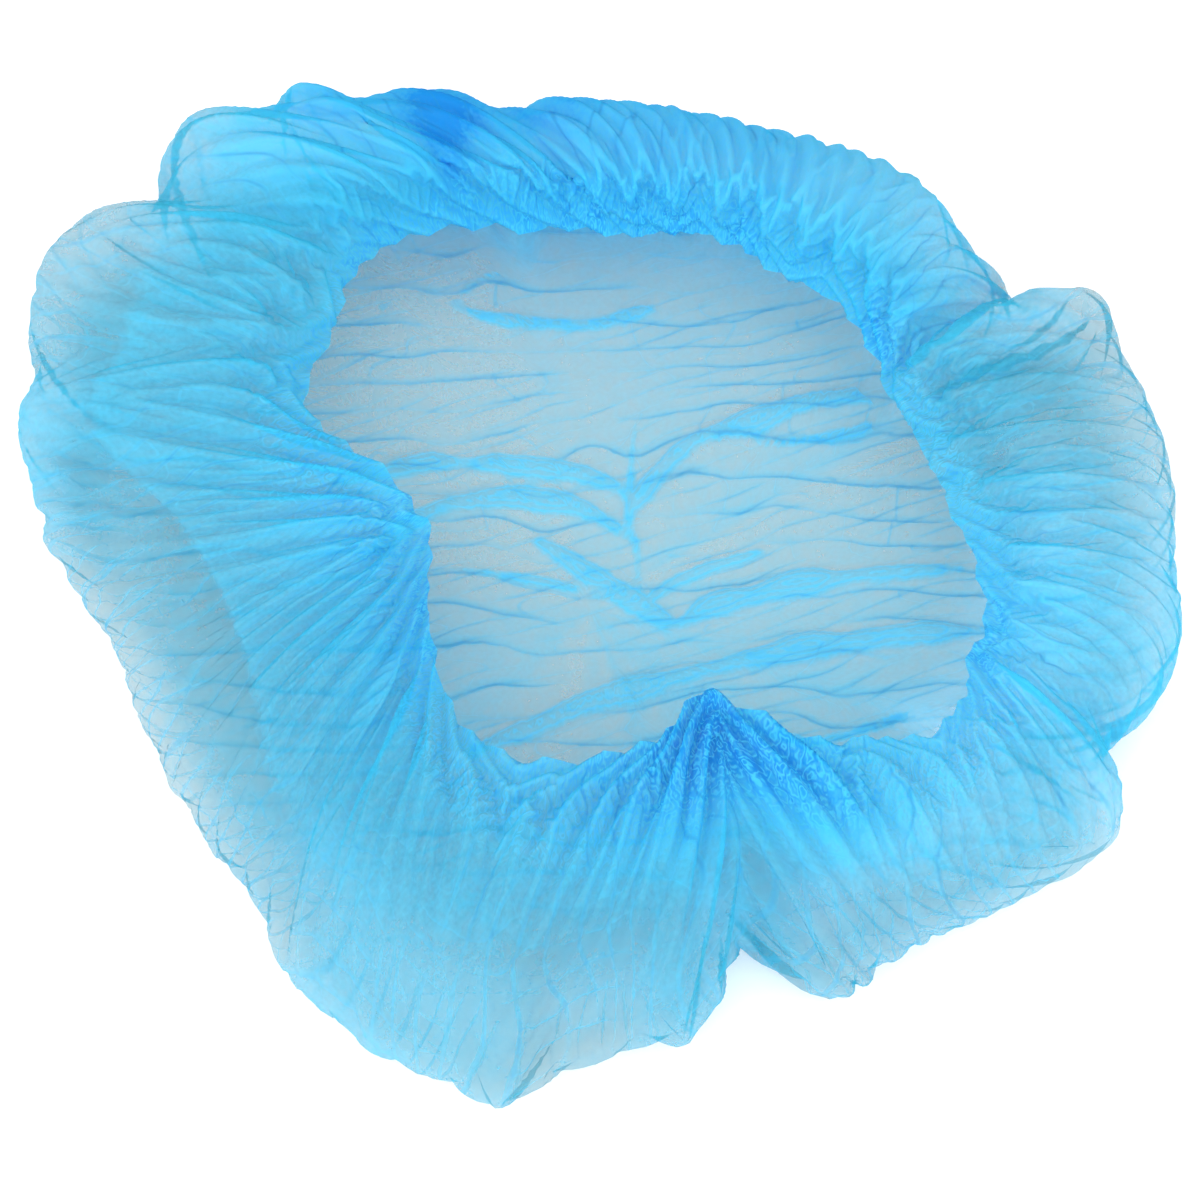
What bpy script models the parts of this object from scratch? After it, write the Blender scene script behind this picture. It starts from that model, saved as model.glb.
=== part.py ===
"""A bouffant cap of thin nonwoven cloth that lies on its crown with its mouth up.

Metres, +Z up, seen with +X to the right and +Y to the back. The origin is on the
floor, under the middle of the cap's box. The cap is two pieces: the crown, one disc of
cloth that makes the floor, the puff and the gathered band, and the elastic hem, the
gathered casing round the mouth.
"""
import math
from collections import namedtuple

import bpy
import numpy as np

# Overall sizes of the cap as it lies
CAP_WIDTH = 0.352
CAP_DEPTH = 0.334
PUFF_HEIGHT = 0.0545

# The mouth, and how far its middle lies from the middle of the cap
MOUTH_WIDTH = 0.203
MOUTH_DEPTH = 0.190
MOUTH_TO_RIGHT = 0.011
MOUTH_TO_BACK = 0.024

# The turn of the cloth from the floor up into the puff: how far the flat floor's edge lies
# inside the outermost fold, and that fold's height as a share of the puff's height there
TURN_INSET = 0.022
TURN_SHARE = 0.42

# The cloth and the hem's casing
CLOTH_WALL = 0.001
HEM_WIDTH = 0.006
HEM_THICKNESS = 0.003
SEAT_GAP = 0.0003

# Gathers run from the hem out over the puff and leave a scalloped edge
GATHER_COUNT = 36
GATHER_DEPTH = 0.0026
SCALLOP_DEPTH = 0.0016

# Loose folds that stand up from the floor of the cap
FOLD_HEIGHT = 0.0034
FOLD_HALF_WIDTH = 0.009

# How finely the cloth is divided
SIDES_PER_GATHER = 4
FLOOR_ROWS = 12
TURN_ROWS = 3
SHOULDER_ROWS = 4
LIP_ROWS = 3
HEM_SIDES = 6
FOLD_SAMPLES = 16

# One row for each direction round the cap, in degrees anticlockwise from the right:
# reach   the outermost fold, as a share of half the cap's width and depth
# mouth   the hem, as a share of half the mouth's width and depth, round its own middle
# top     the highest line of the puff, as a share of the puff's height
# hem     the height of the hem, as a share of the puff's height
# crest   the place of the highest line, as a share of the way from the hem to the outermost fold
Section = namedtuple("Section", "angle reach mouth top hem crest")
SECTIONS = (
    Section(0, 1.00, 0.95, 0.81, 0.64, 0.34),
    Section(15, 1.04, 0.88, 0.83, 0.60, 0.34),
    Section(30, 1.09, 0.88, 0.89, 0.55, 0.32),
    Section(45, 1.00, 0.93, 0.98, 0.55, 0.26),
    Section(60, 1.02, 0.98, 1.00, 0.54, 0.20),
    Section(75, 1.01, 1.07, 0.96, 0.53, 0.16),
    Section(90, 1.03, 1.08, 0.94, 0.53, 0.15),
    Section(105, 1.06, 1.13, 0.96, 0.53, 0.15),
    Section(120, 1.14, 1.19, 0.98, 0.54, 0.20),
    Section(135, 1.19, 1.19, 0.96, 0.55, 0.26),
    Section(150, 1.14, 1.06, 0.89, 0.57, 0.32),
    Section(165, 1.03, 0.97, 0.81, 0.62, 0.34),
    Section(180, 0.89, 0.70, 0.74, 0.64, 0.36),
    Section(195, 0.81, 0.61, 0.70, 0.64, 0.36),
    Section(210, 0.81, 0.66, 0.68, 0.62, 0.36),
    Section(225, 0.84, 0.79, 0.66, 0.62, 0.34),
    Section(240, 0.92, 0.96, 0.66, 0.62, 0.30),
    Section(255, 0.99, 1.04, 0.68, 0.64, 0.26),
    Section(270, 0.93, 0.97, 0.72, 0.68, 0.24),
    Section(285, 0.86, 0.88, 0.77, 0.72, 0.22),
    Section(300, 0.88, 1.13, 0.74, 0.70, 0.24),
    Section(315, 0.93, 1.25, 0.72, 0.66, 0.30),
    Section(330, 1.00, 1.17, 0.74, 0.62, 0.32),
    Section(345, 0.98, 1.05, 0.77, 0.62, 0.34),
)

# Lobes and notches of the outline, and valleys and humps of the puff, each round one direction:
# spread is in degrees, and the other columns are added to the sections' shares
Dent = namedtuple("Dent", "angle spread reach mouth top")
DENTS = (
    Dent(27, 5, 0.03, 0.00, 0.04),
    Dent(36, 4, -0.07, 0.00, -0.21),
    Dent(98, 4, -0.03, 0.00, -0.10),
    Dent(108, 6, 0.01, 0.00, -0.28),
    Dent(126, 4, 0.05, 0.00, 0.06),
    Dent(135, 3, -0.08, 0.00, -0.12),
    Dent(144, 5, 0.02, 0.00, 0.00),
    Dent(160, 3, -0.05, 0.00, -0.06),
    Dent(168, 5, 0.02, 0.02, 0.00),
    Dent(228, 6, -0.02, 0.00, -0.14),
    Dent(241, 4, 0.03, 0.00, 0.04),
    Dent(262, 4, 0.06, 0.00, 0.00),
    Dent(280, 3, 0.05, 0.00, 0.03),
    Dent(288, 3, -0.09, -0.08, -0.12),
    Dent(297, 5, 0.04, 0.00, 0.05),
    Dent(341, 3, -0.04, 0.00, -0.08),
    Dent(352, 6, 0.02, 0.00, 0.04),
)

# Loose folds on the floor, each an arc through three places, given as shares of half the
# cap's width and depth, and its height as a share of the fold height
Fold = namedtuple("Fold", "start_x start_y middle_x middle_y end_x end_y height")
FOLDS = (
    Fold(-0.32, 0.29, -0.14, 0.30, 0.07, 0.24, 0.7),
    Fold(0.07, 0.24, 0.28, 0.40, 0.56, 0.48, 1.0),
    Fold(-0.27, 0.20, -0.10, 0.25, 0.08, 0.14, 0.7),
    Fold(-0.09, 0.14, 0.03, 0.05, 0.16, -0.04, 0.6),
    Fold(0.16, -0.04, 0.34, 0.05, 0.64, 0.08, 0.8),
    Fold(-0.20, -0.27, 0.22, -0.12, 0.65, -0.05, 1.0),
    Fold(-0.24, 0.66, -0.04, 0.62, 0.11, 0.66, 0.6),
)

CLOTH_COLOUR = (0.17, 0.56, 0.86, 1.0)
HEM_COLOUR = (0.06, 0.42, 0.82, 1.0)
CLOTH_ROUGHNESS = 0.85


def clear_scene():
    """Remove whatever the scene holds."""
    for item in list(bpy.data.objects):
        bpy.data.objects.remove(item, do_unlink=True)


def round_table(angles, values):
    """Read a column of the section table at any angles, on a smooth curve that closes."""
    count = len(values)
    place = np.mod(np.asarray(angles) / 360.0, 1.0) * count
    first = np.floor(place).astype(int)
    share = place - first
    before, at, after, beyond = (values[(first + step) % count] for step in (-1, 0, 1, 2))
    slope_at = 0.5 * (after - before)
    slope_after = 0.5 * (beyond - at)
    return (
        (2 * share**3 - 3 * share**2 + 1) * at
        + (share**3 - 2 * share**2 + share) * slope_at
        + (3 * share**2 - 2 * share**3) * after
        + (share**3 - share**2) * slope_after
    )


def column(name, angles):
    """One column of the sections with its dents, read at each angle."""
    values = np.array([getattr(row, name) for row in SECTIONS])
    result = round_table(angles, values)
    for dent in DENTS:
        if name in Dent._fields:
            turn = np.mod(angles - dent.angle + 180.0, 360.0) - 180.0
            result = result + getattr(dent, name) * np.exp(-((turn / dent.spread) ** 2))
    return result


def outermost(angles):
    """Plan places of the outermost fold."""
    reach = column("reach", angles)
    turn = np.radians(angles)
    return np.stack(
        (0.5 * CAP_WIDTH * reach * np.cos(turn), 0.5 * CAP_DEPTH * reach * np.sin(turn)), axis=-1
    )


def mouth_line(angles):
    """Plan places of the hem."""
    share = column("mouth", angles)
    turn = np.radians(angles)
    return np.stack(
        (
            MOUTH_TO_RIGHT + 0.5 * MOUTH_WIDTH * share * np.cos(turn),
            MOUTH_TO_BACK + 0.5 * MOUTH_DEPTH * share * np.sin(turn),
        ),
        axis=-1,
    )


def fold_rise(plan):
    """Height of the loose floor folds at each plan place."""
    rise = np.zeros(plan.shape[:-1])
    half = 0.5 * np.array((CAP_WIDTH, CAP_DEPTH))
    for fold in FOLDS:
        start = half * (fold.start_x, fold.start_y)
        middle = half * (fold.middle_x, fold.middle_y)
        end = half * (fold.end_x, fold.end_y)
        along = np.linspace(0.0, 1.0, FOLD_SAMPLES)[:, None]
        pull = 2.0 * middle - 0.5 * (start + end)
        line = (1 - along) ** 2 * start + 2 * along * (1 - along) * pull + along**2 * end
        away = np.linalg.norm(plan[..., None, :] - line, axis=-1)
        taper = np.sin(math.pi * np.clip(along[:, 0], 0.08, 0.92)) ** 0.5
        shape = fold.height * taper * np.exp(-((away / FOLD_HALF_WIDTH) ** 2))
        rise = np.maximum(rise, shape.max(axis=-1))
    return FOLD_HEIGHT * rise


def floor_rows(angles):
    """Rows of the flat floor, from near its middle out to where the cloth turns up."""
    edge = outermost(angles)
    length = np.linalg.norm(edge, axis=-1, keepdims=True)
    edge = edge * (1.0 - TURN_INSET / length)
    shares = np.linspace(0.0, 1.0, FLOOR_ROWS + 1)[1:]
    plan = shares[:, None, None] * edge[None]
    fade = np.clip((1.0 - shares) * 4.0, 0.0, 1.0)[:, None]
    return np.concatenate((plan, (fade * fold_rise(plan))[..., None]), axis=-1)


def band_rows(angles):
    """Rows of the turn, the shoulder of the puff and the lip that drops to the hem."""
    outer = outermost(angles)
    hem = mouth_line(angles)
    top = PUFF_HEIGHT * column("top", angles)
    hem_height = PUFF_HEIGHT * column("hem", angles)
    crest = column("crest", angles)
    length = np.linalg.norm(outer, axis=-1, keepdims=True)
    inward = -outer / length
    rise = TURN_SHARE * top
    rows = []
    for step in range(1, TURN_ROWS + 1):
        swing = 0.5 * math.pi * step / TURN_ROWS
        plan = outer + inward * TURN_INSET * (1.0 - math.sin(swing))
        rows.append(np.column_stack((plan, rise * (1.0 - math.cos(swing)))))
    for step in range(1, SHOULDER_ROWS + 1):
        swing = 0.5 * math.pi * step / SHOULDER_ROWS
        share = crest + (1.0 - crest) * math.cos(swing)
        plan = hem + share[:, None] * (outer - hem)
        rows.append(np.column_stack((plan, rise + (top - rise) * math.sin(swing))))
    for step in range(1, LIP_ROWS + 1):
        along = step / LIP_ROWS
        share = crest * (1.0 - along)
        plan = hem + share[:, None] * (outer - hem)
        rows.append(np.column_stack((plan, top + (hem_height - top) * along**1.5)))
    return np.array(rows)


def outward_normals(rows):
    """Unit normals of a grid of rows that closes round the cap, pointing out of the cloth."""
    along = np.gradient(rows, axis=0)
    across = 0.5 * (np.roll(rows, -1, axis=1) - np.roll(rows, 1, axis=1))
    normals = np.cross(along, across)
    return normals / np.linalg.norm(normals, axis=-1, keepdims=True)


def gathered(rows):
    """Raise and sink the band in gathers that grow from the floor to the hem."""
    count = rows.shape[1]
    turn = 2.0 * math.pi * GATHER_COUNT * np.arange(count) / count
    wander = 0.35 * np.sin(5.0 * turn / GATHER_COUNT + 0.8)
    wave = np.cos(turn + wander)
    turn_share = np.clip(np.arange(1, len(rows) + 1) / TURN_ROWS, 0.0, 1.0)
    hem_share = np.clip((np.arange(1, len(rows) + 1) - TURN_ROWS) / (SHOULDER_ROWS + LIP_ROWS), 0.0, 1.0)
    depth = turn_share * SCALLOP_DEPTH + hem_share * (GATHER_DEPTH - SCALLOP_DEPTH)
    return rows + outward_normals(rows) * (depth[:, None] * wave[None])[..., None]


def cap_rows():
    """All rows of the cloth's outer face, moved so that the origin is under the box's middle."""
    count = GATHER_COUNT * SIDES_PER_GATHER
    angles = 360.0 * np.arange(count) / count
    floor = floor_rows(angles)
    band = gathered(np.concatenate((floor[-1:], band_rows(angles))))[1:]
    points = np.concatenate((floor, band))
    low = points.reshape(-1, 3).min(axis=0)
    high = points.reshape(-1, 3).max(axis=0)
    shift = np.array((-0.5 * (low[0] + high[0]), -0.5 * (low[1] + high[1]), 0.0))
    return floor + shift, band + shift, shift


def crown_mesh(floor, band, middle):
    """The cloth's outer face: a fan, floor rows with half the columns, and full band rows."""
    sparse = floor[:-1, ::2]
    sparse_count = sparse.shape[1]
    full = np.concatenate((floor[-1:], band))
    full_count = full.shape[1]
    points = [middle] + list(sparse.reshape(-1, 3)) + list(full.reshape(-1, 3))
    full_start = 1 + sparse.shape[0] * sparse_count
    faces = [(0, 1 + (at + 1) % sparse_count, 1 + at) for at in range(sparse_count)]
    for row in range(len(sparse) - 1):
        start = 1 + row * sparse_count
        for at in range(sparse_count):
            after = (at + 1) % sparse_count
            faces.append((start + at, start + after, start + sparse_count + after, start + sparse_count + at))
    start = 1 + (len(sparse) - 1) * sparse_count
    for at in range(sparse_count):
        after = (at + 1) % sparse_count
        left, right = full_start + 2 * at, full_start + (2 * at + 2) % full_count
        faces.append((start + at, left + 1, left))
        faces.append((start + at, start + after, left + 1))
        faces.append((start + after, right, left + 1))
    for row in range(len(full) - 1):
        start = full_start + row * full_count
        for at in range(full_count):
            after = (at + 1) % full_count
            faces.append((start + at, start + after, start + full_count + after, start + full_count + at))
    mesh = bpy.data.meshes.new("crown")
    mesh.from_pydata([tuple(point) for point in points], [], faces)
    mesh.update()
    return mesh


def hem_mesh(band):
    """The casing: a closed tube of flat section, just past the cloth's gathered edge."""
    edge = band[-1]
    ahead = edge - band[-2]
    ahead /= np.linalg.norm(ahead, axis=-1, keepdims=True)
    normals = outward_normals(band)[-1]
    middle = edge - normals * 0.5 * CLOTH_WALL + ahead * (SEAT_GAP + 0.5 * HEM_WIDTH)
    count = len(edge)
    points = []
    for side in range(HEM_SIDES):
        swing = 2.0 * math.pi * side / HEM_SIDES
        offset = ahead * 0.5 * HEM_WIDTH * math.cos(swing) + normals * 0.5 * HEM_THICKNESS * math.sin(swing)
        points.extend(middle + offset)
    faces = []
    for side in range(HEM_SIDES):
        start = side * count
        over = ((side + 1) % HEM_SIDES) * count
        for at in range(count):
            after = (at + 1) % count
            faces.append((start + at, start + after, over + after, over + at))
    mesh = bpy.data.meshes.new("elastic_hem")
    mesh.from_pydata([tuple(point) for point in points], [], faces)
    mesh.update()
    return mesh


def material(name, colour):
    """A matt cloth material."""
    made = bpy.data.materials.new(name)
    made.use_nodes = True
    surface = made.node_tree.nodes["Principled BSDF"]
    surface.inputs["Base Color"].default_value = colour
    surface.inputs["Roughness"].default_value = CLOTH_ROUGHNESS
    surface.inputs["Metallic"].default_value = 0.0
    return made


def piece(name, mesh, colour):
    """Put a mesh in the scene as one named, smooth shaded object."""
    made = bpy.data.objects.new(name, mesh)
    bpy.context.scene.collection.objects.link(made)
    mesh.materials.append(material(name, colour))
    mesh.shade_smooth()
    return made


def main():
    """Build the crown and its elastic hem."""
    clear_scene()
    floor, band, shift = cap_rows()
    middle_rise = fold_rise(np.zeros((1, 2)))[0]
    middle = shift + np.array((0.0, 0.0, middle_rise))
    crown = piece("crown", crown_mesh(floor, band, middle), CLOTH_COLOUR)
    wall = crown.modifiers.new("wall", "SOLIDIFY")
    wall.thickness = CLOTH_WALL
    wall.offset = -1.0
    piece("elastic_hem", hem_mesh(band), HEM_COLOUR)


main()
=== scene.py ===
"""A bouffant cap of sky blue nonwoven that lies on its crown, mouth up, on a plain pale floor.

Directions are in degrees, from the cap's right (0) over its back (90). The crown is cut as one
flat disc, and a share of it runs from 0 in the middle of the crown to 1 at the hem. A mark is
a value for each point of the cloth, which its mesh keeps as an attribute and the material reads.
"""
import logging
import math
from dataclasses import dataclass, field
from functools import partial
from typing import Callable, NamedTuple

import bpy
import numpy as np
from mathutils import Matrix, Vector


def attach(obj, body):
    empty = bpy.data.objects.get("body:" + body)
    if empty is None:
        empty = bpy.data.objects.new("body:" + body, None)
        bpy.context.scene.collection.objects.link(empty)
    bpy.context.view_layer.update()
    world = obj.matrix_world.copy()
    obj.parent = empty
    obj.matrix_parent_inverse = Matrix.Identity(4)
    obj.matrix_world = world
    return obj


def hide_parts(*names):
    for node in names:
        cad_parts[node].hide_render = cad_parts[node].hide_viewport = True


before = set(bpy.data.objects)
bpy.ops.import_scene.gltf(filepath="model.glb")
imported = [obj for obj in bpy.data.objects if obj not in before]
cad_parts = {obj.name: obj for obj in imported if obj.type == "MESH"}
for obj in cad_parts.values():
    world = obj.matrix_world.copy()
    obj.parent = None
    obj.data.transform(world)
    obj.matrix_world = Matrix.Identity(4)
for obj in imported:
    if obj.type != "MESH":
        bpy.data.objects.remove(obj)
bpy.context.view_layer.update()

MM = 0.001
TINY = 1e-12  # keeps a division by a length or an area from failing
NOISE_CELLS = 97  # the plane's noise repeats after so many blots
NOISE_GAIN = 1.7  # brings the smoothed ring noise back to about -1 to 1
TO_WHOLE = 0.5  # a ping-pong node over this says how far off the nearest whole number is
OUTSIDE = -20.0  # the band mark far from every fold of the floor, in millimetres
TUCK_LIMIT = 4.0
UV_SIDE = 2.1  # side of the UV map, in radii of the disc
LOG = logging.getLogger("bouffant_cap")

Array = np.ndarray
Range = tuple[float, float]
Span = tuple[Range, Range]
Faces = list[tuple[int, ...]]
Socket = bpy.types.NodeSocket
Adder = Callable[..., Socket | None]


class Section(NamedTuple):
    """The cap's section in one direction, as shares of the sizes in CapForm.

    Crest is where the highest line lies, from 0 at the hem to 1 at the outermost fold.
    """

    reach: float
    mouth: float
    top: float
    hem: float
    crest: float


SECTIONS = (  # one row every 15 degrees, from 0
    Section(1.00, 0.95, 0.81, 0.64, 0.34),
    Section(1.04, 0.88, 0.83, 0.60, 0.34),
    Section(1.09, 0.88, 0.89, 0.55, 0.32),
    Section(1.00, 0.93, 0.98, 0.55, 0.26),
    Section(1.02, 0.98, 1.00, 0.54, 0.20),
    Section(1.01, 1.07, 0.96, 0.53, 0.16),
    Section(1.03, 1.08, 0.94, 0.53, 0.15),  # 90
    Section(1.06, 1.13, 0.96, 0.53, 0.15),
    Section(1.14, 1.19, 0.98, 0.54, 0.20),
    Section(1.19, 1.19, 0.96, 0.55, 0.26),
    Section(1.14, 1.06, 0.89, 0.57, 0.32),
    Section(1.03, 0.97, 0.81, 0.62, 0.34),
    Section(0.89, 0.70, 0.74, 0.64, 0.36),  # 180
    Section(0.81, 0.61, 0.70, 0.64, 0.36),
    Section(0.81, 0.66, 0.68, 0.62, 0.36),
    Section(0.84, 0.79, 0.66, 0.62, 0.34),
    Section(0.92, 0.96, 0.66, 0.62, 0.30),
    Section(0.99, 1.04, 0.68, 0.64, 0.26),
    Section(0.93, 0.97, 0.72, 0.68, 0.24),  # 270
    Section(0.86, 0.88, 0.77, 0.72, 0.22),
    Section(0.88, 1.13, 0.74, 0.70, 0.24),
    Section(0.93, 1.25, 0.72, 0.66, 0.30),
    Section(1.00, 1.17, 0.74, 0.62, 0.32),
    Section(0.98, 1.05, 0.77, 0.62, 0.34),
)


class Dent(NamedTuple):
    """A lobe or notch of the outline, a valley or hump of the puff, or a bump of the mouth.

    Angle and spread are in degrees, and the rest is added to the section's shares.
    """

    angle: float
    spread: float
    reach: float
    mouth: float
    top: float


DENTS = (
    Dent(26, 6, -0.03, 0.00, -0.03),
    Dent(34, 2.6, 0.03, 0.00, 0.14),
    Dent(36.5, 3.2, -0.09, 0.00, -0.28),
    Dent(43, 5, -0.05, 0.00, -0.08),
    Dent(92, 26, 0.00, -0.08, 0.00),
    Dent(99, 3, -0.02, 0.00, -0.10),
    Dent(107, 5, 0.035, 0.00, -0.02),
    Dent(118, 1.5, 0.05, 0.00, 0.08),
    Dent(127, 3, 0.04, 0.00, 0.06),
    Dent(135, 3, -0.08, 0.00, -0.12),
    Dent(144, 5, 0.02, 0.00, 0.00),
    Dent(156.5, 2.5, -0.03, 0.00, -0.04),
    Dent(168, 5, 0.01, 0.02, 0.00),
    Dent(228, 6, -0.02, 0.00, -0.14),
    Dent(241, 4, 0.015, 0.00, 0.04),
    Dent(262, 4, 0.06, 0.00, 0.00),
    Dent(280, 3, 0.05, 0.00, 0.03),
    Dent(289.5, 3.5, -0.10, 0.00, -0.05),
    Dent(289, 7, 0.00, -0.10, -0.02),
    Dent(297, 5, 0.04, 0.00, 0.05),
    Dent(338, 4, -0.07, 0.00, -0.08),
    Dent(352, 6, 0.02, 0.00, 0.04),
)


def smooth_step(low: float, high: float, value: Array) -> Array:
    """A value from 0 at low to 1 at high, with a soft start and end."""
    share = np.clip((value - low) / (high - low), 0.0, 1.0)
    return share * share * (3.0 - 2.0 * share)


def between(span: Span, value: Array) -> Array:
    """A value that rises to 1 over a span's first range and falls back to 0 over its second."""
    return smooth_step(*span[0], value) * (1.0 - smooth_step(*span[1], value))


class Ramp(NamedTuple):
    """A value that runs from at_low to at_high between two places, and stays level beyond."""

    low: float
    high: float
    at_low: float = 0.0
    at_high: float = 1.0

    def at(self, value: Array) -> Array:
        """The ramp at a value, with a soft start and end."""
        return self.at_low + (self.at_high - self.at_low) * smooth_step(self.low, self.high, value)


def turn_from(angle: float, angles: Array) -> Array:
    """Degrees from one direction to others, between -180 and 180."""
    return np.mod(angles - angle + 180.0, 360.0) - 180.0


def around(count: int) -> Array:
    """Directions of evenly spaced columns, in radians."""
    return 2.0 * math.pi * np.arange(count) / count


def unit(vectors: Array) -> Array:
    """Vectors at unit length."""
    return vectors / np.maximum(np.linalg.norm(vectors, axis=-1, keepdims=True), TINY)


def grid_crosses(points: Array) -> Array:
    """Normals of a closed grid of points, each as long as the area of a cell there."""
    along = np.gradient(points, axis=0)
    across = 0.5 * (np.roll(points, -1, axis=1) - np.roll(points, 1, axis=1))
    return np.cross(along, across)


def blurred(values: Array, times: int) -> Array:
    """Values on a closed grid, averaged with their neighbours a number of times."""
    for _ in range(times):
        values = (np.roll(values, 1, axis=1) + 2.0 * values + np.roll(values, -1, axis=1)) / 4.0
        padded = np.concatenate((values[:1], values, values[-1:]))
        values = (padded[:-2] + 2.0 * padded[1:-1] + padded[2:]) / 4.0
    return values


def periodic_column(angles: Array, rows: tuple[NamedTuple, ...], name: str) -> Array:
    """Read one column of a table on a smooth closed curve.

    Args:
        angles: directions in degrees.
        rows: the table, with one row for each even step round the circle.
        name: the column.

    Returns:
        The column's values at the angles.
    """
    values = np.array([getattr(row, name) for row in rows])
    count = len(values)
    place = np.mod(angles / 360.0, 1.0) * count
    first = np.floor(place).astype(int)
    share = place - first
    before, at, after, beyond = (values[(first + step) % count] for step in (-1, 0, 1, 2))
    slope_at = 0.5 * (after - before)
    slope_after = 0.5 * (beyond - at)
    return (
        (2 * share**3 - 3 * share**2 + 1) * at
        + (share**3 - 2 * share**2 + share) * slope_at
        + (3 * share**2 - 2 * share**3) * after
        + (share**3 - share**2) * slope_after
    )


def blend_weights(count: int, out: int, closed: bool) -> tuple[Array, Array]:
    """Cubic spline taps that spread count values over out places.

    Args:
        count: how many values there are.
        out: how many places to read.
        closed: whether the values close into a ring.

    Returns:
        Indices and weights, each of shape (4, out).
    """
    place = np.arange(out) * (count / out if closed else (count - 1) / max(out - 1, 1))
    first = np.floor(place).astype(int)
    share = place - first
    weights = np.stack(
        (
            (1 - share) ** 3 / 6,
            (3 * share**3 - 6 * share**2 + 4) / 6,
            (-3 * share**3 + 3 * share**2 + 3 * share + 1) / 6,
            share**3 / 6,
        )
    )
    taps = first[None] + np.arange(-1, 3)[:, None]
    taps = taps % count if closed else np.clip(taps, 0, count - 1)
    return taps, weights


def smooth_noise(seed: int, rows: int, columns: int, cells_along: int, cells_round: int) -> Array:
    """Smooth noise from about -1 to 1 on a grid whose columns close into a ring.

    Args:
        seed: fixes the draw.
        rows: rows of the grid.
        columns: columns of the grid.
        cells_along: noise cells along the rows' direction.
        cells_round: noise cells round the ring.

    Returns:
        An array of shape (rows, columns).
    """
    values = np.random.default_rng(seed).uniform(-1.0, 1.0, (cells_along + 1, cells_round))
    taps, weights = blend_weights(cells_round, columns, True)
    wide = sum(values[:, taps[at]] * weights[at] for at in range(4))
    taps, weights = blend_weights(cells_along + 1, rows, False)
    return NOISE_GAIN * sum(wide[taps[at]] * weights[at][:, None] for at in range(4))


def plane_noise(seed: int, x: Array, y: Array) -> Array:
    """Smooth noise from -1 to 1 over a plane, with one blot for each unit of x and y.

    Args:
        seed: fixes the draw.
        x: places across.
        y: places along, of the same shape.

    Returns:
        The noise at each place.
    """
    values = np.random.default_rng(seed).uniform(-1.0, 1.0, (NOISE_CELLS, NOISE_CELLS))
    column, row = np.floor(x).astype(int), np.floor(y).astype(int)
    across, along = smooth_step(0.0, 1.0, x - column), smooth_step(0.0, 1.0, y - row)
    left, right = column % NOISE_CELLS, (column + 1) % NOISE_CELLS
    low, high = row % NOISE_CELLS, (row + 1) % NOISE_CELLS
    near = values[low, left] * (1.0 - across) + values[low, right] * across
    far = values[high, left] * (1.0 - across) + values[high, right] * across
    return near * (1.0 - along) + far * along


class Ripples(NamedTuple):
    """Waves over rings and columns: how strong they are, and about how many along and round."""

    seed: int
    strength: float
    along: int
    round: int

    def over(self, rings: int, columns: int) -> Array:
        """The waves' value at each ring and column."""
        return self.strength * smooth_noise(self.seed, rings, columns, self.along, self.round)


class Blots(NamedTuple):
    """Smooth blots over a plane: how strong they are, and their size across and along."""

    seed: int
    strength: float
    across: float
    along: float

    def at(self, x: Array, y: Array) -> Array:
        """The blots' value at each place."""
        return self.strength * plane_noise(self.seed, x / self.across, y / self.along)


BlotSet = tuple[Blots, ...]


def blotted(level: float, blots: BlotSet, x: Array, y: Array) -> Array:
    """An even level with blots added to it, at each place."""
    for part in blots:
        level = level + part.at(x, y)
    return level


FOLD_PLACES = 60
FOLD_ENDS = (0.02, 0.98)
FOLD_SHAKE = (Blots(51, 2.0 * MM, 17.0 * MM, 17.0 * MM), Blots(52, 2.0 * MM, 17.0 * MM, 17.0 * MM))
FOLD_SWELL = (Blots(53, 0.45, 13.0 * MM, 13.0 * MM),)


class Fold(NamedTuple):
    """A band where the floor's cloth has folded over itself: an arc through three places.

    Places are shares of half the cap's width and depth; width is in millimetres.
    """

    start_x: float
    start_y: float
    middle_x: float
    middle_y: float
    end_x: float
    end_y: float
    width: float
    height: float  # against the crown's fold_height

    def lay_out(self, half: Array) -> tuple[Array, Array]:
        """Draw the fold's uneven line.

        Args:
            half: half the cap's width and depth, in metres.

        Returns:
            Places along the line, and how far the band reaches to each side of them.
        """
        start, middle, end = half * self[:2], half * self[2:4], half * self[4:6]
        pull = 2.0 * middle - 0.5 * (start + end)
        along = np.linspace(0.0, 1.0, FOLD_PLACES)
        step = along[:, None]
        line = (1 - step) ** 2 * start + 2 * step * (1 - step) * pull + step**2 * end
        shake = np.stack([part.at(*line.T) for part in FOLD_SHAKE], axis=-1)
        line = line + shake * np.sin(math.pi * step) ** 0.5
        swell = blotted(1.0, FOLD_SWELL, *line.T)
        taper = np.sin(math.pi * np.clip(along, *FOLD_ENDS)) ** 0.3
        return line, 0.5 * self.width * MM * swell * taper


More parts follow.
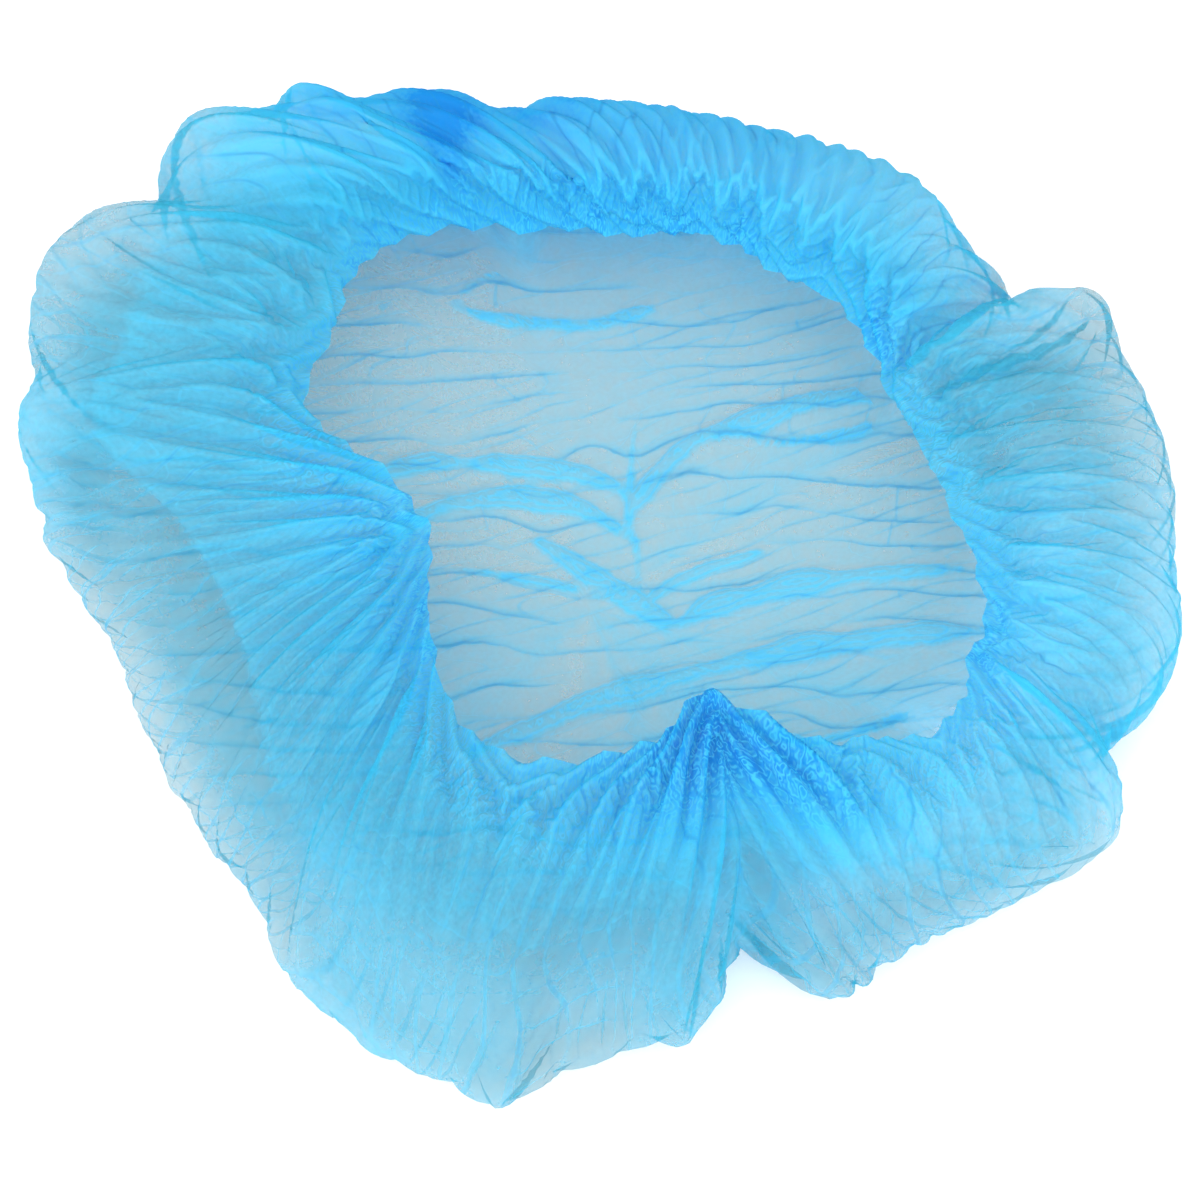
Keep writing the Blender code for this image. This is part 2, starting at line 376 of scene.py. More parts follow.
FOLDS = (
    Fold(-0.45, 0.27, -0.14, 0.31, 0.07, 0.24, 7.0, 0.7),
    Fold(0.07, 0.20, 0.26, 0.40, 0.60, 0.47, 9.0, 1.0),
    Fold(-0.40, 0.10, -0.16, 0.24, 0.08, 0.14, 8.0, 0.7),
    Fold(-0.09, 0.14, 0.03, 0.05, 0.16, -0.04, 7.0, 0.6),
    Fold(0.16, -0.04, 0.34, 0.05, 0.65, 0.08, 8.0, 0.8),
    Fold(-0.20, -0.30, 0.22, -0.12, 0.68, -0.05, 9.0, 1.0),
    Fold(-0.24, 0.66, -0.04, 0.62, 0.11, 0.66, 5.5, 0.6),
    Fold(-0.26, 0.67, -0.12, 0.76, 0.06, 0.80, 3.0, 0.4),
    Fold(0.05, 0.80, 0.15, 0.82, 0.30, 0.74, 3.0, 0.3),
    Fold(-0.22, 0.08, 0.00, 0.03, 0.14, -0.05, 4.0, 0.4),
    Fold(0.09, -0.01, 0.17, 0.07, 0.30, 0.12, 5.0, 0.4),
    Fold(0.09, 0.42, 0.07, 0.22, 0.09, 0.02, 3.0, 0.3),
    Fold(0.30, 0.36, 0.42, 0.37, 0.56, 0.42, 4.0, 0.3),
    Fold(0.24, -0.24, 0.38, -0.27, 0.54, -0.22, 4.0, 0.3),
)


@dataclass
class CapForm:
    """The main form of the lying cap, shared by the cloth and the hem. Lengths are in metres."""

    width: float = 0.352
    depth: float = 0.334
    puff_height: float = 0.0545
    mouth_width: float = 0.203
    mouth_depth: float = 0.190
    mouth_to_right: float = 0.011
    mouth_to_back: float = 0.024
    turn_inset: float = 0.022
    turn_share: float = 0.42
    band_fall: float = 1.5
    twist: float = -15.0
    twist_at: float = 8.0
    twist_spread: float = 42.0

    def column(self, name: str, angles: Array) -> Array:
        """One column of the sections with its dents, read at each angle."""
        result = periodic_column(angles, SECTIONS, name)
        if name not in Dent._fields:
            return result
        for dent in DENTS:
            turn = turn_from(dent.angle, angles)
            result = result + getattr(dent, name) * np.exp(-((turn / dent.spread) ** 2))
        return result

    def outermost(self, angles: Array) -> Array:
        """Plan places of the outermost fold."""
        turn = np.radians(angles)
        reach = self.column("reach", angles)
        return np.stack(
            (0.5 * self.width * reach * np.cos(turn), 0.5 * self.depth * reach * np.sin(turn)), axis=-1
        )

    def mouth_line(self, angles: Array) -> Array:
        """Plan places of the hem, drawn a little round on the right, where the folds run level."""
        from_right = turn_from(self.twist_at, angles)
        angles = angles + self.twist * np.exp(-((from_right / self.twist_spread) ** 2))
        turn = np.radians(angles)
        share = self.column("mouth", angles)
        return np.stack(
            (
                self.mouth_to_right + 0.5 * self.mouth_width * share * np.cos(turn),
                self.mouth_to_back + 0.5 * self.mouth_depth * share * np.sin(turn),
            ),
            axis=-1,
        )

    def middle(self) -> Array:
        """The shift that puts the origin under the middle of the cap's box, as in the CAD."""
        edge = self.outermost(np.arange(0.0, 360.0, 0.5))
        return -0.5 * (edge.min(axis=0) + edge.max(axis=0))

    def section_curves(self, angles: Array, steps: int) -> Array:
        """Section curves from the middle of the floor round the puff to the hem.

        Args:
            angles: directions in degrees.
            steps: points on each of the four stretches of the curve.

        Returns:
            An array of shape (4 * steps, angles, 3).
        """
        outer = self.outermost(angles)
        hem = self.mouth_line(angles)
        top = self.puff_height * self.column("top", angles)
        hem_height = self.puff_height * self.column("hem", angles)
        crest = self.column("crest", angles)
        length = np.linalg.norm(outer, axis=-1, keepdims=True)
        inward = -outer / length
        rise = self.turn_share * top
        edge = outer + inward * self.turn_inset
        rows = []
        for share in np.linspace(0.0, 1.0, steps):
            rows.append(np.column_stack((edge * share, np.zeros(len(angles)))))
        for swing in np.linspace(0.0, 0.5 * math.pi, steps + 1)[1:]:
            plan = outer + inward * self.turn_inset * (1.0 - math.sin(swing))
            rows.append(np.column_stack((plan, rise * (1.0 - math.cos(swing)))))
        for swing in np.linspace(0.0, 0.5 * math.pi, steps + 1)[1:]:
            share = crest + (1.0 - crest) * math.cos(swing)
            plan = hem + share[:, None] * (outer - hem)
            rows.append(np.column_stack((plan, rise + (top - rise) * math.sin(swing))))
        for along in np.linspace(0.0, 1.0, steps + 1)[1:]:
            plan = hem + (crest * (1.0 - along))[:, None] * (outer - hem)
            rows.append(np.column_stack((plan, top + (hem_height - top) * along**self.band_fall)))
        curves = np.array(rows)
        curves[..., :2] += self.middle()
        return curves


class Pass(NamedTuple):
    """One pass of the settling: broad folds form first, then finer ones between them.

    The pass keeps every stride columns. Share is how much of the spare cloth it lets in, and
    at_hem is the same at the hem, which the elastic keeps free of broad folds. Bend is how
    stiff the cloth is, and pull how strongly it is drawn back to its form. The folds start
    from noise of seed_depth millimetres in so many cells.
    """

    stride: int
    share: float
    at_hem: float
    steps: int
    bend: float
    pull: float
    seed_depth: float
    cells_round: int
    cells_along: int


PASSES = (
    Pass(4, 0.34, 0.02, 260, 0.50, 0.0020, 1.6, 104, 12),
    Pass(2, 0.72, 0.30, 260, 0.40, 0.0015, 1.0, 250, 30),
    Pass(1, 1.00, 1.00, 240, 0.30, 0.0010, 0.6, 400, 70),
)


@dataclass
class Settling:
    """Lets a closed grid of cloth buckle into folds where it has more length than room.

    Every pair of near points is a spring at its length in the cloth. The springs are
    relaxed together, step by step, while the cloth is drawn weakly back to the form
    it lies on and is kept above the floor.
    """

    seed: int = 5
    momentum: float = 0.85
    gain: float = 0.42
    floor: float = 0.0004
    slant_strength: float = 0.5
    quick_share: int = 6

    def finer(self, grid: Array) -> Array:
        """The grid with twice its columns, on smooth curves."""
        near = grid + np.roll(grid, -1, axis=1)
        far = np.roll(grid, 1, axis=1) + np.roll(grid, -2, axis=1)
        result = np.empty((grid.shape[0], 2 * grid.shape[1], 3))
        result[:, ::2] = grid
        result[:, 1::2] = (9.0 * near - far) / 16.0
        return result

    def add_springs(
        self, ring: Array, moves: Array, rest: Array, rows: int, columns: int, strength: float
    ) -> None:
        """Add what one family of springs does to the points' moves.

        Args:
            ring: the points, with a few columns repeated so that the ring closes.
            moves: the sum of moves so far, changed in place.
            rest: the springs' lengths in the cloth.
            rows: how many rows each spring reaches over.
            columns: how many columns each spring reaches over, below zero for the other diagonal.
            strength: how much of the error the family takes away.
        """
        count = rest.shape[1]
        first = (slice(0, ring.shape[0] - rows), slice(max(-columns, 0), max(-columns, 0) + count))
        second = (slice(rows, None), slice(max(columns, 0), max(columns, 0) + count))
        gap = ring[second] - ring[first]
        away = np.sqrt(np.einsum("ijk,ijk->ij", gap, gap))
        move = gap * (0.5 * strength * (1.0 - rest / np.maximum(away, TINY)))[..., None]
        moves[first] += move
        moves[second] -= move

    def relax(self, start: Array, form: Array, round_rest: Array, along_rest: Array,
              rule: Pass, steps: int, loose: Array, held: Array) -> Array:
        """Relax the grid of one pass.

        Args:
            start: the points to start from.
            form: the form that the cloth lies on.
            round_rest: cloth lengths from each column to the next.
            along_rest: cloth lengths from each row to the next.
            rule: the pass.
            steps: how many steps to take.
            loose: for each row, 1 where it moves freely and 0 where it stays.
            held: for each row, how much of each sideways slip from the form is taken back.

        Returns:
            The settled points.
        """
        count = start.shape[1]
        normals = unit(grid_crosses(form)).astype(np.float32)
        form = form.astype(np.float32)
        points = start.astype(np.float32)
        before = points.copy()
        round_rest, along_rest = round_rest.astype(np.float32), along_rest.astype(np.float32)
        across = np.sqrt((0.5 * (round_rest[:-1] + round_rest[1:])) ** 2 + along_rest[:-1] ** 2)
        loose = loose[:, None, None].astype(np.float32)
        held = held[:, None, None].astype(np.float32)
        springs = (
            (round_rest, 0, 1, 1.0),
            (along_rest[:-1], 1, 0, 1.0),
            (across, 1, 1, self.slant_strength),
            (across, 1, -1, self.slant_strength),
            (2.0 * round_rest, 0, 2, rule.bend),
            (along_rest[:-2] + along_rest[1:-1], 2, 0, rule.bend),
        )
        for _ in range(steps):
            ring = np.concatenate((points, points[:, :2]), axis=1)
            moves = np.zeros_like(ring)
            for spring in springs:
                self.add_springs(ring, moves, *spring)
            moves[:, :2] += moves[:, count:]
            moved = points + self.gain * moves[:, :count] + self.momentum * (points - before)
            off = moved - form
            rise = np.einsum("ijk,ijk->ij", off, normals)[..., None] * normals
            moved -= rule.pull * rise + held * (off - rise)
            moved[..., 2] = np.maximum(moved[..., 2], self.floor)
            before = points
            points = points + (moved - points) * loose
        return points.astype(float)

    def run(self, form: Array, round_ratio: Array, along_ratio: Array,
            grow: Array, loose: Array, held: Array, hem: Array) -> Array:
        """Settle the cloth in passes, each with finer columns than the last.

        Args:
            form: the form that the cloth lies on, as a closed grid.
            round_ratio: cloth length over form length round the cap, for each point.
            along_ratio: the same from row to row.
            grow: how strongly folds are started in each row.
            loose: for each row, 1 where it moves freely and 0 where it stays.
            held: for each row, how much of each sideways slip from the form is taken back.
            hem: for each row, 1 at the hem and 0 away from it.

        Returns:
            The settled grid.
        """
        points = form[:, :: PASSES[0].stride].copy()
        for number, rule in enumerate(PASSES):
            ground = form[:, :: rule.stride]
            while points.shape[1] < ground.shape[1]:
                points = self.finer(points)
            let_in = (rule.share + (rule.at_hem - rule.share) * hem)[:, None]
            spare = 1.0 + let_in * (round_ratio[:, :: rule.stride] - 1.0)
            round_rest = np.linalg.norm(np.roll(ground, -1, axis=1) - ground, axis=-1) * spare
            along_rest = np.linalg.norm(np.diff(ground, axis=0), axis=-1)
            along_rest = np.concatenate((along_rest, along_rest[-1:]))
            along_rest = along_rest * (1.0 + let_in * (along_ratio[:, :: rule.stride] - 1.0))
            seeds = smooth_noise(self.seed + number, *ground.shape[:2], rule.cells_along, rule.cells_round)
            seeds = rule.seed_depth * MM * seeds * (grow[:, None] * let_in / rule.share)
            points = points + unit(grid_crosses(ground)) * seeds[..., None]
            points[..., 2] = np.maximum(points[..., 2], self.floor)
            steps = rule.steps
            points = self.relax(points, ground, round_rest, along_rest, rule, steps, loose, held)
            LOG.info("settled pass %d: %d columns, %d steps", number + 1, ground.shape[1], steps)
        return points


class Tuck(NamedTuple):
    """How the puff's cloth lies in one direction.

    Thin is how dense the two sheets of the outer rim look against a flat layer, and edge is
    where the upper cloth begins to lie doubled, as a share of the way from the outermost fold
    to the hem. The doubled cloth adds inner layers over soft millimetres. The hem's crinkle
    reaches over crinkle millimetres of cloth.
    """

    thin: float
    edge: float
    soft: float
    inner: float
    crinkle: float


TUCKS = (  # one row every 15 degrees, from 0
    Tuck(0.55, 0.20, 2.0, 0.5, 14),
    Tuck(0.5, 0.44, 1.5, 0.2, 12),
    Tuck(0.7, 0.42, 2.5, 0.5, 14),
    Tuck(0.5, 0.34, 9.0, 1.3, 24),
    Tuck(1.2, 0.30, 12.0, 1.5, 26),
    Tuck(1.3, 0.24, 12.0, 1.5, 26),
    Tuck(1.6, 0.22, 12.0, 1.6, 24),  # 90
    Tuck(2.0, 0.14, 10.0, 1.7, 28),
    Tuck(1.6, 0.34, 12.0, 1.8, 16),
    Tuck(0.8, 0.44, 10.0, 0.9, 8),
    Tuck(1.1, 0.50, 2.5, 0.8, 8),
    Tuck(1.2, 0.42, 1.2, 0.7, 18),
    Tuck(0.52, 0.40, 1.0, 0.8, 38),  # 180
    Tuck(0.34, 0.36, 1.0, 1.0, 36),
    Tuck(0.30, 0.35, 1.5, 1.0, 24),
    Tuck(0.48, 0.31, 3.0, 0.8, 22),
    Tuck(0.7, 0.38, 6.0, 0.5, 26),
    Tuck(0.7, 0.48, 8.0, 0.5, 34),
    Tuck(0.55, 0.52, 10.0, 0.8, 46),  # 270
    Tuck(1.05, 0.46, 12.0, 1.1, 52),
    Tuck(0.5, 0.56, 12.0, 0.8, 46),
    Tuck(0.45, 0.48, 10.0, 0.4, 34),
    Tuck(0.5, 0.34, 8.0, 0.8, 26),
    Tuck(0.45, 0.20, 5.0, 1.0, 18),
)


class Heap(NamedTuple):
    """A place of the puff where folds lie heaped on one another.

    Way is the share of the way from the outermost fold to the hem, spread is in degrees,
    width is a share of the way, and layers is how much more cloth lies there.
    """

    angle: float
    way: float
    spread: float
    width: float
    layers: float


HEAPS = (
    Heap(42, 0.92, 5, 0.16, 1.2),
    # the broad heap behind is partly more cloth and partly painted shade on the far side of the puff
    Heap(85, 0.38, 38, 0.42, 1.0),
    Heap(95, 0.47, 4.5, 0.10, 1.6),
    # the narrow heaps from 107 to 115 degrees draw the dark V fold: stacked cloth with painted shade in the
    # fold
    Heap(107, 0.46, 3.2, 0.14, 4.2),
    Heap(110, 0.60, 2.7, 0.09, 3.6),
    Heap(112.5, 0.70, 2.1, 0.09, 3.4),
    Heap(115, 0.80, 1.5, 0.07, 2.6),
    Heap(131, 0.52, 8, 0.30, 0.5),
    Heap(265, 0.96, 16, 0.14, 0.8),
    Heap(286, 0.88, 15, 0.26, 2.6),
    Heap(296, 0.80, 8, 0.15, 1.3),
)


@dataclass(frozen=True)
class LayerPattern:
    """How dense the cloth lies, and where it is doubled, crinkled or in painted shade.

    Ranges are shares of the disc, apart from crinkle_out, which is in widths of the crinkle,
    and behind, which is over the sine of the direction.
    """

    blur: int = 2
    density: Range = (0.8, 2.4)
    steepness: float = 0.35
    turned: float = 0.60
    rim: Span = ((0.47, 0.56), (0.78, 0.92))
    mottle: BlotSet = (Blots(61, 1.0, 30.0, 30.0), Blots(62, 0.8, 12.0, 12.0))
    mottled: Ramp = Ramp(0.50, 0.64, 0.03, 0.27)
    crinkle_out: Range = (0.45, 1.1)
    behind: Range = (-0.1, 0.6)
    lit_in: Range = (0.38, 0.52)
    lit_later_behind: float = 0.06
    # painted shade on the far side of the puff and at its rim
    shade_behind: float = 0.45
    shade_at_rim: float = 0.35
    shaded_rim: Span = ((0.50, 0.58), (0.62, 0.78))

    def marks(self, crown: "Crown") -> dict[str, Array]:
        """Note the layers, the tucks and the hem's crinkle.

        Args:
            crown: the crown, with its points in place.

        Returns:
            The marks by name, one value for each point.
        """
        crosses = grid_crosses(crown.points)
        laid = np.linalg.norm(crosses, axis=-1)
        steep = 1.0 - np.abs(crosses[..., 2]) / np.maximum(laid, TINY)
        cut = (2.0 * math.pi / crown.columns * crown.radii * np.gradient(crown.radii))[:, None]
        dense = np.clip(blurred(cut / np.maximum(laid, TINY), self.blur), *self.density)
        share = (crown.radii / crown.disc_radius)[:, None]
        turned = int(np.searchsorted(share[:, 0], self.turned))
        way = (share - share[turned]) / (1.0 - share[turned])
        angles = crown.angles()
        thin, edge, soft, inner, crinkle = (periodic_column(angles, TUCKS, name) for name in Tuck._fields)
        heaped = np.zeros(laid.shape)
        for heap in HEAPS:
            turn = turn_from(heap.angle, angles) / heap.spread
            heaped += heap.layers * np.exp(-(turn**2) - ((way - heap.way) / heap.width) ** 2)
        thinned = 1.0 + (thin - 1.0) * between(self.rim, share)
        uneven = 1.0 + self.mottled.at(share) * blotted(0.0, self.mottle, *crown.unrolled_places())
        to_hem = (crown.disc_radius - crown.radii)[:, None] / MM
        puff = (crown.disc_radius - crown.radii[turned]) / MM
        return {
            "layers": dense * (1.0 + self.steepness * steep) * thinned * uneven + heaped,
            "inner": np.broadcast_to(inner, laid.shape),
            "crinkle": 1.0 - smooth_step(*self.crinkle_out, to_hem / crinkle),
            "tuck": np.clip((way - edge) * puff / soft, -TUCK_LIMIT, TUCK_LIMIT),
            "shaded": self.shade(angles, share),
        }

    def shade(self, angles: Array, share: Array) -> Array:
        """How much painted shade darkens what shows through the cloth's gaps, from 0 to 1: the shade of the
        cloth on the ground under the cap, with more on the puff behind and at its rim.
        """
        behind = smooth_step(*self.behind, np.sin(np.radians(angles)))
        lit = smooth_step(*self.lit_in, share - self.lit_later_behind * behind)
        rim = between(self.shaded_rim, share)
        return 1.0 - lit * (1.0 - self.shade_behind * behind) * (1.0 - self.shade_at_rim * rim)


@dataclass(frozen=True)
class CreasePattern:
    """The packing creases over the laid-out disc. Lengths are in millimetres of cloth.

    Row and slant number two families of creases, and worn and fresh say how strong each is.
    Past ring_from, slant and fresh give instead a faint net round the front of the puff.
    """

    gap: float = 11.0
    lean: float = 0.05
    row_wave: BlotSet = (Blots(41, 7.0, 44.0, 34.0), Blots(42, 2.6, 15.0, 18.0))
    row_level: float = 0.70
    row_blots: BlotSet = (Blots(43, 0.85, 24.0, 7.0), Blots(44, 0.25, 60.0, 60.0))
    row_most: float = 1.1
    slant_across: float = 0.34
    slant_along: float = 0.94
    slant_gap: float = 0.55
    slant_wave: BlotSet = (Blots(47, 4.0, 34.0, 34.0), Blots(48, 1.2, 12.0, 16.0))
    slant_level: float = 0.40
    slant_blots: BlotSet = (Blots(49, 0.75, 24.0, 6.0), Blots(50, 0.35, 50.0, 50.0))
    slant_most: float = 0.9
    slant_out: Range = (0.46, 0.56)
    hidden_in: Range = (0.42, 0.52)
    hidden_earlier_in_front: float = 0.10
    hidden: float = 0.95
    less_hidden_across: float = 0.60
    ring_from: float = 0.565
    ring_gap: float = 9.0
    ring_wave: BlotSet = (Blots(54, 0.9, 26.0, 26.0),)
    net_strength: float = 0.65
    net_level: float = 0.30
    net_blots: BlotSet = (Blots(55, 0.8, 18.0, 18.0),)
    net_span: Span = ((0.57, 0.62), (0.80, 0.90))
    net_in_front: Range = (0.1, 0.7)
    ray_level: float = 0.5
    ray_blots: BlotSet = (Blots(45, 0.6, 22.0, 22.0),)
    rays_in: Range = (0.46, 0.56)
    ray_bend: Ripples = Ripples(46, 0.9, 14, 60)

    def marks(self, crown: "Crown") -> dict[str, Array]:
        """Number the creases across the cloth, and note how strong each is from place to place.

        Args:
            crown: the crown, with its rings laid out.

        Returns:
            The marks by name, one value for each point.
        """
        x, y = crown.unrolled_places()
        share = (crown.radii / crown.disc_radius)[:, None]
        out = np.maximum(np.hypot(x, y), 1.0)
        across, front = (x / out) ** 2, -y / out
        past = smooth_step(*self.hidden_in, share + self.hidden_earlier_in_front * front)
        seen = 1.0 - (self.hidden - self.less_hidden_across * across) * past
        row = (y - self.lean * x + blotted(0.0, self.row_wave, x, y)) / self.gap
        worn = np.clip(blotted(self.row_level, self.row_blots, x, y), 0.0, self.row_most) * seen
        slant = self.slant_along * y - self.slant_across * x + blotted(0.0, self.slant_wave, x, y)
        slant = slant / (self.slant_gap * self.gap)
        fresh = np.clip(blotted(self.slant_level, self.slant_blots, x, y), 0.0, self.slant_most)
        fresh = fresh * seen * (1.0 - smooth_step(*self.slant_out, share))
        ring = blotted(crown.radii[:, None] / MM / self.ring_gap, self.ring_wave, x, y)
        net = self.net_strength * np.clip(blotted(self.net_level, self.net_blots, x, y), 0.0, 1.0)
        net = net * between(self.net_span, share) * smooth_step(*self.net_in_front, front)
        rays = np.clip(blotted(self.ray_level, self.ray_blots, x, y), 0.0, 1.0)
        return {
            "row": row,
            "worn": worn,
            "slant": np.where(share < self.ring_from, slant, ring),
            "fresh": np.where(share < self.ring_from, fresh, net),
            "rays": rays * smooth_step(*self.rays_in, share),
            "bend": self.ray_bend.over(*x.shape),
        }


class Stretch(NamedTuple):
    """Rings of the disc: their radii, how many there are, and every how many columns they keep."""

    inner: float
    outer: float
    rings: int
    stride: int


STRETCHES = (
    Stretch(0.004, 0.030, 8, 8),
    Stretch(0.030, 0.110, 26, 4),
    Stretch(0.110, 0.180, 31, 2),
    Stretch(0.180, 0.215, 15, 1),
    Stretch(0.215, 0.243, 16, 1),
    Stretch(0.243, 0.265, 22, 1),
)


def make_cloth(
    name: str, places: Array, faces: Faces, flat: Array, radius: float, marks: dict[str, Array]
) -> bpy.types.Object:
    """Make a piece of cloth, with the flat disc as its UV map.

    Args:
        name: the piece's name.
        places: its vertices.
        faces: its faces.
        flat: the vertices' places on the flat disc.
        radius: the disc's radius.
        marks: for each mark, its value at every vertex.

    Returns:
        The piece, linked to the scene.
    """
    mesh = bpy.data.meshes.new(name)
    mesh.from_pydata(places.tolist(), [], faces)
    mesh.update()
    loops = np.empty(len(mesh.loops), dtype=np.int32)
    mesh.loops.foreach_get("vertex_index", loops)
    sheet = 0.5 + flat / (UV_SIDE * radius)
    mesh.uv_layers.new(name="disc").data.foreach_set("uv", sheet[loops].astype(np.float32).ravel())
    for mark, values in marks.items():
        layer = mesh.attributes.new(mark, "FLOAT", "POINT")
        layer.data.foreach_set("value", values.astype(np.float32))
    mesh.shade_smooth()
    made = bpy.data.objects.new(name, mesh)
    bpy.context.scene.collection.objects.link(made)
    LOG.info("%s: %d vertices, %d faces", name, len(mesh.vertices), len(mesh.polygons))
    return made


def flat_rings(radii: Array, count: int) -> Array:
    """Places of rings on the flat disc, of shape (rings, count, 2)."""
    turn = around(count)
    return radii[:, None, None] * np.stack((np.cos(turn), np.sin(turn)), axis=-1)[None]


@dataclass
class Crown:
    """The crown: one disc of cloth, the floor, the puff and the gathered band.

    Lengths are in metres, and ranges are shares of the disc.
    """

    form: CapForm
    disc_radius: float = 0.265
    columns: int = 1280
    curve_steps: int = 48
    floor_clearance: float = 0.0004
    fold_height: float = 0.0026
    fold_slope: Range = (-1.5, 2.5)
    folds_out: Range = (0.42, 0.50)
    billow: float = 0.0024
    billows: Ripples = Ripples(21, 1.0, 9, 34)
    billow_in: Range = (0.56, 0.68)
    billow_out: Range = (0.84, 0.96)
    scallop: float = 0.0014
    scallops: tuple[Ripples, ...] = (Ripples(24, 1.0, 1, 96), Ripples(25, 0.7, 1, 260))
    scallop_span: Span = ((0.44, 0.58), (0.60, 0.80))
    sway: float = 0.0022
    sways: tuple[Ripples, ...] = (Ripples(22, 1.0, 1, 44), Ripples(23, 0.5, 1, 120))
    sway_in: Range = (0.84, 1.0)
    sway_ring: int = -12
    settled_from: float = 0.111
    fullness_blur: int = 60
    fullness_taken: float = 0.72
    least_fullness: float = 1.06
    most_fullness: Ramp = Ramp(0.93, 0.985, 1.85, 1.20)
    slack: float = 1.01
    crinkle: float = 0.26
    crinkle_width: float = 0.030
    crinkle_full: float = 0.3
    wrinkle: float = 0.02
    wrinkle_in: Range = (0.68, 0.80)
    patches: Ripples = Ripples(31, 0.6, 2, 22)
    patch_limits: Range = (0.2, 1.5)
    fixed_rings: int = 2
    growth: Ramp = Ramp(0.45, 0.85, 0.35, 1.0)
    hold: Ramp = Ramp(0.93, 1.0, 0.02, 0.12)
    hem_in: Range = (0.90, 0.98)
    free_in: Range = (0.455, 0.515)
    free_later_behind: float = 0.055
    radii: Array = field(init=False)
    strides: Array = field(init=False)
    points: Array = field(init=False)
    unrolled: Array = field(init=False)
    marks: dict[str, Array] = field(init=False, default_factory=dict)

    def angles(self) -> Array:
        """The columns' directions in degrees."""
        return 360.0 * np.arange(self.columns) / self.columns

    def unrolled_places(self) -> tuple[Array, Array]:
        """Places of the cloth, rolled out flat in each column's direction, in millimetres."""
        return tuple(self.radii[:, None] * axis / MM for axis in self.unrolled.T)

    def lay_out_rings(self) -> None:
        """Choose the rings of the disc, finer near the hem, and how many columns each keeps."""
        radii, strides = [], []
        for stretch in STRETCHES:
            steps = np.linspace(stretch.inner, stretch.outer, stretch.rings + 1)
            steps = steps[1:] if radii else steps
            radii.extend(steps)
            strides.extend([stretch.stride] * len(steps))
        self.radii = np.array(radii)
        self.strides = np.array(strides)

    def form_surface(self) -> None:
        """Lay each ring on the cap's main form, at its share of the section's length."""
        curves = self.form.section_curves(self.angles(), self.curve_steps)
        pieces = np.linalg.norm(np.diff(curves, axis=0), axis=-1)
        lengths = np.concatenate((np.zeros((1, self.columns)), np.cumsum(pieces, axis=0)))
        shares = self.radii / self.disc_radius
        outward = unit(self.form.outermost(self.angles()))
        self.unrolled = outward * lengths[-1, :, None] / self.disc_radius
        self.points = np.empty((len(shares), self.columns, 3))
        for column in range(self.columns):
            wanted = shares * lengths[-1, column]
            for axis in range(3):
                self.points[:, column, axis] = np.interp(wanted, lengths[:, column], curves[:, column, axis])

    def stir_surface(self) -> None:
        """Add broad billows to the puff, scallops to its rim and a sway to the hem."""
        points = self.points
        share = (self.radii / self.disc_radius)[:, None]
        billows = self.billows.over(*points.shape[:2]) * smooth_step(*self.billow_in, share)
        calm = 1.0 - smooth_step(*self.billow_out, share)
        points += unit(grid_crosses(points)) * (self.billow * billows * calm)[..., None]
        rim = between(self.scallop_span, share)
        outward = unit(self.form.outermost(self.angles()))
        scallops = sum(part.over(2, self.columns)[:1] for part in self.scallops)
        points[..., :2] += (self.scallop * scallops * rim)[..., None] * outward
        near_hem = smooth_step(*self.sway_in, share)
        inward = unit(points[self.sway_ring, :, :2] - points[-1, :, :2])
        sways = sum(part.over(2, self.columns)[:1] for part in self.sways)
        points[..., :2] += (self.sway * sways * near_hem)[..., None] * inward
        points[..., 2] += self.floor_clearance

    def settle(self) -> None:
        """Let the puff and the band buckle into gathers, where the disc is longer than their form."""
        rows = self.radii > self.settled_from
        form, radii = self.points[rows], self.radii[rows]
        share = radii / self.disc_radius
        room = np.linalg.norm(np.roll(form, -1, axis=1) - form, axis=-1)
        cut = 2.0 * math.pi * radii[:, None] / self.columns
        fullness = blurred(cut / np.maximum(room, TINY), self.fullness_blur)
        taken = 1.0 + self.fullness_taken * (fullness - 1.0)
        round_ratio = np.clip(taken, self.least_fullness, self.most_fullness.at(share)[:, None])
        along_ratio = self.slack + self.crinkled(radii)
        loose = np.ones(len(radii))
        loose[: self.fixed_rings] = 0.0
        grow = loose * self.growth.at(share)
        hem = smooth_step(*self.hem_in, share)
        settled = Settling().run(form, round_ratio, along_ratio, grow, loose, self.hold.at(share), hem)
        behind = np.clip(np.sin(around(self.columns)), 0.0, 1.0)
        free = smooth_step(*self.free_in, share[:, None] - self.free_later_behind * behind)
        self.points[rows] = form + (settled - form) * free[..., None]

    def crinkled(self, radii: Array) -> Array:
        """How much longer than its form the cloth is from ring to ring, in patches."""
        full = self.disc_radius - self.crinkle_full * self.crinkle_width
        near_hem = smooth_step(self.disc_radius - self.crinkle_width, full, radii)
        patches = np.clip(1.0 + self.patches.over(len(radii), self.columns), *self.patch_limits)
        on_puff = smooth_step(*self.wrinkle_in, radii / self.disc_radius)
        return (self.crinkle * near_hem + self.wrinkle * on_puff)[:, None] * patches

    def add_floor_folds(self) -> None:
        """Raise the folded bands of the floor and note how far inside a band each place is."""
        half = 0.5 * np.array((self.form.width, self.form.depth))
        plan = self.points[..., :2] - self.form.middle()
        rise = np.zeros(plan.shape[:-1])
        inside = np.full(plan.shape[:-1], OUTSIDE)
        for fold in FOLDS:
            depth = np.full(plan.shape[:-1], -1.0)
            for place, reach in zip(*fold.lay_out(half)):
                depth = np.maximum(depth, reach - np.linalg.norm(plan - place, axis=-1))
            inside = np.maximum(inside, depth / MM)
            rise = np.maximum(rise, fold.height * smooth_step(*self.fold_slope, depth / MM))
        floor_share = 1.0 - smooth_step(*self.folds_out, (self.radii / self.disc_radius)[:, None])
        self.points[..., 2] += self.fold_height * rise * floor_share
        self.marks["band"] = np.where(floor_share > 0.5, inside, OUTSIDE)

